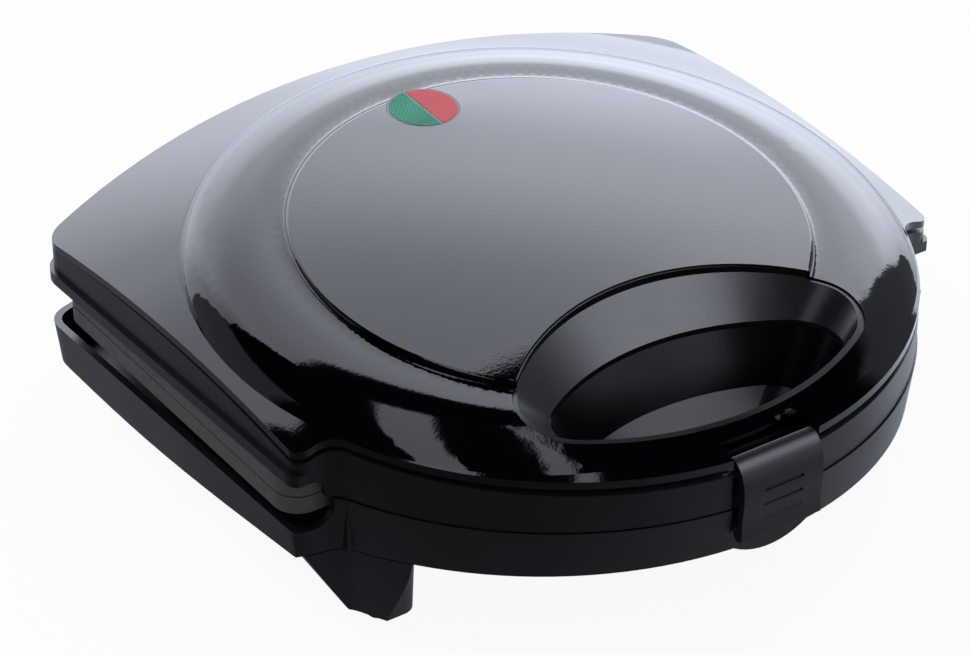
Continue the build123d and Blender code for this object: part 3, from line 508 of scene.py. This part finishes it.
def floor_material():
    """White floor that keeps the shadow: part lit, part bright to the eye, with a painted shadow in
    reflections.
    """
    mat, tree, shader = new_material("floor_white")
    noise = node(tree, "ShaderNodeTexNoise", Scale=3.0, Detail=2.0)
    coord = node(tree, "ShaderNodeTexCoord")
    tree.links.new(coord.outputs["Object"], noise.inputs["Vector"])
    tint(tree, noise.outputs["Fac"], (0.96, 0.96, 0.96), (0.98, 0.98, 0.98), shader.inputs["Base Color"])
    shader.inputs["Roughness"].default_value = 0.9
    shader.inputs["Specular IOR Level"].default_value = 0.0
    # to the eye it is white; in reflections it carries a painted shadow, dark in front of the object and
    # brightening towards the panel
    place_on = node(tree, "ShaderNodeSeparateXYZ")
    tree.links.new(coord.outputs["Object"], place_on.inputs[0])
    along = sums(tree, "MULTIPLY_ADD", place_on.outputs["X"], 2.0, place_on.outputs["Y"])
    painted_shadow = profile(tree, along, FLOOR_PAINTED_SHADOW, "LINEAR")
    path = node(tree, "ShaderNodeLightPath")
    direct = sums(tree, "MAXIMUM", path.outputs["Is Camera Ray"], path.outputs["Is Transmission Ray"])
    glow = node(tree, "ShaderNodeEmission")
    tint(tree, path.outputs["Is Glossy Ray"], (1, 1, 1), FLOOR_COLOR, glow.inputs["Color"])
    tree.links.new(sums(tree, "MAXIMUM", direct, sums(
        tree, "MULTIPLY", path.outputs["Is Glossy Ray"], painted_shadow)), glow.inputs["Strength"])
    share = sums(tree, "MAXIMUM", sums(tree, "MULTIPLY", direct, FLOOR_SEEN), sums(
        tree, "MULTIPLY", path.outputs["Is Glossy Ray"], FLOOR_MIRRORED))
    mix = node(tree, "ShaderNodeMixShader")
    tree.links.new(share, mix.inputs[0])
    tree.links.new(shader.outputs[0], mix.inputs[1])
    tree.links.new(glow.outputs[0], mix.inputs[2])
    tree.links.new(mix.outputs[0], tree.nodes["Material Output"].inputs["Surface"])
    return mat


def sums(tree, operation, *terms):
    """One math node on sockets or plain numbers."""
    n = node(tree, "ShaderNodeMath", operation=operation)
    for slot, term in zip(n.inputs, terms):
        if isinstance(term, (int, float)):
            slot.default_value = term
        else:
            tree.links.new(term, slot)
    return n.outputs[0]


def rise(tree, source, low, high):
    """0 below one value, 1 above the other, smooth between."""
    n = node(tree, "ShaderNodeMapRange", interpolation_type="SMOOTHSTEP")
    n.inputs["From Min"].default_value = low
    n.inputs["From Max"].default_value = high
    tree.links.new(source, n.inputs["Value"])
    return n.outputs[0]


def profile(tree, source, stops, kind="EASE"):
    """A curve through given stops: a ramp of shares of the top value, times that value."""
    low, high = stops[0][0], stops[-1][0]
    top = max(value for _, value in stops)
    span = node(tree, "ShaderNodeMapRange")
    span.inputs["From Min"].default_value = low
    span.inputs["From Max"].default_value = high
    tree.links.new(source, span.inputs["Value"])
    n = node(tree, "ShaderNodeValToRGB")
    n.color_ramp.interpolation = kind
    while len(n.color_ramp.elements) < len(stops):
        n.color_ramp.elements.new(0.5)
    for element, (spot, value) in zip(n.color_ramp.elements, stops):
        element.position = (spot - low) / (high - low)
        element.color = (value / top, value / top, value / top, 1)
    tree.links.new(span.outputs[0], n.inputs["Fac"])
    return sums(tree, "MULTIPLY", n.outputs["Color"], top)


# What the polish shows. Turns are degrees from the rear towards the right, heights are
# degrees, and levels are times white. The panel behind: its upper edge by turn, its
# sides, and its level by height and by turn
PANEL_EDGE = [(-24, 20), (-20, 44), (-12, 50), (3, 60), (16, 58), (31, 53), (40, 48), (60, 39.6),
              (68, 27), (72, 6), (76, 0)]
PANEL_LEFT, PANEL_RIGHT = -22.0, 80.0
SIDE_BLUR, EDGE_BLUR = 0.4, 0.3
PANEL_BY_HEIGHT = [(-5, 2.4), (15, 3.1), (24, 3.1), (36, 2.6), (48, 1.75), (62, 1.65)]
PANEL_BY_TURN = [(-20, 0.5), (-2, 0.9), (12, 0.86), (30, 0.95), (50, 1.08), (62, 1.02), (80, 0.5)]
# The lamp in the panel
LAMP_BY_HEIGHT = [(2, 0), (14, 0.45), (23, 0.95), (30, 0.95), (36, 0.34), (44, 0)]
LAMP_BY_TURN = [(0, 0), (20, 0.3), (39, 1), (58, 0.7), (74, 0)]
LAMP_LEVEL = 3.3
# The dim walls beside the panel: where they start, end and stop upwards
WALL_LEFT, WALL_RIGHT, WALL_HEIGHT = (-68.0, -62.0), (135.0, 150.0), (40.0, 44.0)
WALL_LEVEL = 0.25
# Roof windows, in the plan x/z and y/z of the ceiling: slope and offset of the left and
# right edge, nearest and furthest end
ROOF_WINDOWS = [((0.68, 0.33), (0.95, 0.165), (-1.1, 0.475)),
                ((1.45, -0.16), (1.75, -0.31), (-0.1, 0.5))]
ROOF_SIDE_BLUR, ROOF_NEAR_BLUR, ROOF_FAR_BLUR = 0.01, 0.04, 0.02
ROOF_LOWEST = 0.05          # z under which the plan is no longer followed
ROOF_LEVEL = 1.3
# The soft card in front, to the right
CARD_BY_TURN = [(96, 0), (122, 0.9), (160, 1), (176, 1), (180, 0.9)]
CARD_BY_HEIGHT = [(-4, 0), (3, 0.12), (22, 0.16), (36, 0.85), (50, 1), (62, 0)]
CARD_LEVEL = 5.0
# Colours and level of the world: as mirrored, and as it lights every surface
SHINY_COLOR = (0.94, 0.99, 1.13)
SOFT_COLOR, SOFT_LEVEL = (0.95, 0.97, 1.0), 0.55


def under(tree, source, low, high):
    """1 below one value, 0 above the other, smooth between."""
    return rise(tree, sums(tree, "MULTIPLY", source, -1.0), -high, -low)


def panel_shape(tree, turn, height):
    """1 on the panel behind, 0 beside it."""
    edge = profile(tree, turn, PANEL_EDGE, "LINEAR")
    shape = rise(tree, sums(tree, "SUBTRACT", edge, height), -EDGE_BLUR, EDGE_BLUR)
    shape = sums(tree, "MULTIPLY", shape, rise(
        tree, turn, PANEL_LEFT - SIDE_BLUR, PANEL_LEFT + SIDE_BLUR))
    return sums(tree, "MULTIPLY", shape, under(
        tree, turn, PANEL_RIGHT - SIDE_BLUR, PANEL_RIGHT + SIDE_BLUR))


def panel_level(tree, turn, height):
    """Brightness of the panel with its lamp."""
    level = profile(tree, height, PANEL_BY_HEIGHT)
    level = sums(tree, "MULTIPLY", level, profile(tree, turn, PANEL_BY_TURN))
    lamp = profile(tree, height, LAMP_BY_HEIGHT)
    lamp = sums(tree, "MULTIPLY", lamp, profile(tree, turn, LAMP_BY_TURN))
    return sums(tree, "MULTIPLY_ADD", lamp, LAMP_LEVEL, level)


def wall_shape(tree, turn, height, panel):
    """1 on the walls beside the panel."""
    shape = sums(tree, "MULTIPLY", rise(tree, turn, *WALL_LEFT), under(tree, height, *WALL_HEIGHT))
    shape = sums(tree, "MULTIPLY", shape, under(tree, turn, *WALL_RIGHT))
    return sums(tree, "MULTIPLY", shape, sums(tree, "SUBTRACT", 1.0, panel))


def roof_shape(tree, x, y, z):
    """1 in the roof windows: slanted strips of the ceiling."""
    above = sums(tree, "MAXIMUM", z, ROOF_LOWEST)
    u = sums(tree, "DIVIDE", x, above)
    v = sums(tree, "DIVIDE", y, above)
    roof = None
    for left, right, (near, far) in ROOF_WINDOWS:
        past_right = sums(tree, "SUBTRACT", v, sums(tree, "MULTIPLY_ADD", u, *right))
        before_left = sums(tree, "SUBTRACT", sums(tree, "MULTIPLY_ADD", u, *left), v)
        strip = sums(tree, "MULTIPLY", rise(tree, past_right, -ROOF_SIDE_BLUR, ROOF_SIDE_BLUR),
                     rise(tree, before_left, -ROOF_SIDE_BLUR, ROOF_SIDE_BLUR))
        strip = sums(tree, "MULTIPLY", strip, rise(tree, u, near, near + ROOF_NEAR_BLUR))
        strip = sums(tree, "MULTIPLY", strip, under(tree, v, far - ROOF_FAR_BLUR, far))
        roof = strip if roof is None else sums(tree, "MAXIMUM", roof, strip)
    return roof


def plain_background(tree, color, level):
    """One even colour for the world."""
    n = node(tree, "ShaderNodeBackground")
    n.inputs["Color"].default_value = (*color, 1)
    n.inputs["Strength"].default_value = level
    return n


def surroundings(scene, glow):
    """The world: white to the eye, soft to matt faces, and to the polish a room with a
    tall panel behind, dim walls, two roof windows and a card in front."""
    world = bpy.data.worlds.new("studio")
    scene.world = world
    world.use_nodes = True
    tree = world.node_tree
    tree.nodes.clear()
    coord = node(tree, "ShaderNodeTexCoord")
    split = node(tree, "ShaderNodeSeparateXYZ")
    tree.links.new(coord.outputs["Generated"], split.inputs[0])
    x, y, z = split.outputs
    turn = sums(tree, "DEGREES", sums(tree, "ARCTAN2", x, y))
    height = sums(tree, "DEGREES", sums(tree, "ARCSINE", z))
    panel = panel_shape(tree, turn, height)
    total = sums(tree, "MULTIPLY", panel, panel_level(tree, turn, height))
    total = sums(tree, "MULTIPLY_ADD", wall_shape(tree, turn, height, panel), WALL_LEVEL, total)
    total = sums(tree, "MULTIPLY_ADD", roof_shape(tree, x, y, z), ROOF_LEVEL, total)
    card = sums(tree, "MULTIPLY", profile(tree, turn, CARD_BY_TURN), profile(
        tree, height, CARD_BY_HEIGHT))
    total = sums(tree, "MULTIPLY_ADD", card, CARD_LEVEL, total)
    shiny = plain_background(tree, SHINY_COLOR, 1.0)
    tree.links.new(sums(tree, "MULTIPLY", total, glow), shiny.inputs["Strength"])
    soft = plain_background(tree, SOFT_COLOR, SOFT_LEVEL)
    white = plain_background(tree, (1, 1, 1), 1.0)
    path = node(tree, "ShaderNodeLightPath")
    direct = sums(tree, "MAXIMUM", path.outputs["Is Camera Ray"], path.outputs["Is Transmission Ray"])
    mirrored = node(tree, "ShaderNodeMixShader")
    seen = node(tree, "ShaderNodeMixShader")
    out = node(tree, "ShaderNodeOutputWorld")
    tree.links.new(path.outputs["Is Glossy Ray"], mirrored.inputs[0])
    tree.links.new(soft.outputs[0], mirrored.inputs[1])
    tree.links.new(shiny.outputs[0], mirrored.inputs[2])
    tree.links.new(direct, seen.inputs[0])
    tree.links.new(mirrored.outputs[0], seen.inputs[1])
    tree.links.new(white.outputs[0], seen.inputs[2])
    tree.links.new(seen.outputs[0], out.inputs["Surface"])


# Soft lamps: place, what they look at, size and watts
LAMPS = {"key": ((-0.9, 0.9, 1.5), (0, 0, 0.04), (0.9, 0.6), 12.0),
         "fill": ((1.3, 0.4, 0.9), (0, 0, 0.04), (0.7, 0.7), 6.0)}


# ------------------------------------------------------------------- panel
class TOASTER_PT_sidebar(Panel):
    """Buttons for each group of pieces."""
    bl_idname = "TOASTER_PT_sidebar"
    bl_label = "Sandwich Toaster"
    bl_space_type = "VIEW_3D"
    bl_region_type = "UI"
    bl_category = "Toaster"

    def draw(self, context):
        for operator in OPERATORS:
            self.layout.operator(operator.bl_idname)
        for group in SETTINGS:
            settings = getattr(context.scene, group)
            for name in settings.__annotations__:
                self.layout.prop(settings, name)


SETTINGS = {"toaster_shell": ShellSettings, "toaster_metal": MetalSettings,
            "toaster_lamp": LampSettings, "toaster_stage": StageSettings}
OPERATORS = (TOASTER_OT_shells, TOASTER_OT_metals, TOASTER_OT_lamp, TOASTER_OT_wiring,
             TOASTER_OT_stage)


def register():
    """Settings on the scene, the operators and their sidebar."""
    for group, kind in SETTINGS.items():
        bpy.utils.register_class(kind)
        setattr(bpy.types.Scene, group, PointerProperty(type=kind))
    for operator in OPERATORS:
        bpy.utils.register_class(operator)
    bpy.utils.register_class(TOASTER_PT_sidebar)


def unregister():
    """Takes away what register adds."""
    bpy.utils.unregister_class(TOASTER_PT_sidebar)
    for operator in reversed(OPERATORS):
        bpy.utils.unregister_class(operator)
    for group, kind in SETTINGS.items():
        delattr(bpy.types.Scene, group)
        bpy.utils.unregister_class(kind)


def main():
    """Dresses the whole toaster and sets the stage."""
    register()
    bpy.ops.toaster.shells()
    bpy.ops.toaster.metals()
    bpy.ops.toaster.lamp()
    bpy.ops.toaster.wiring()
    bpy.ops.toaster.stage()


if __name__ == "__main__":
    main()
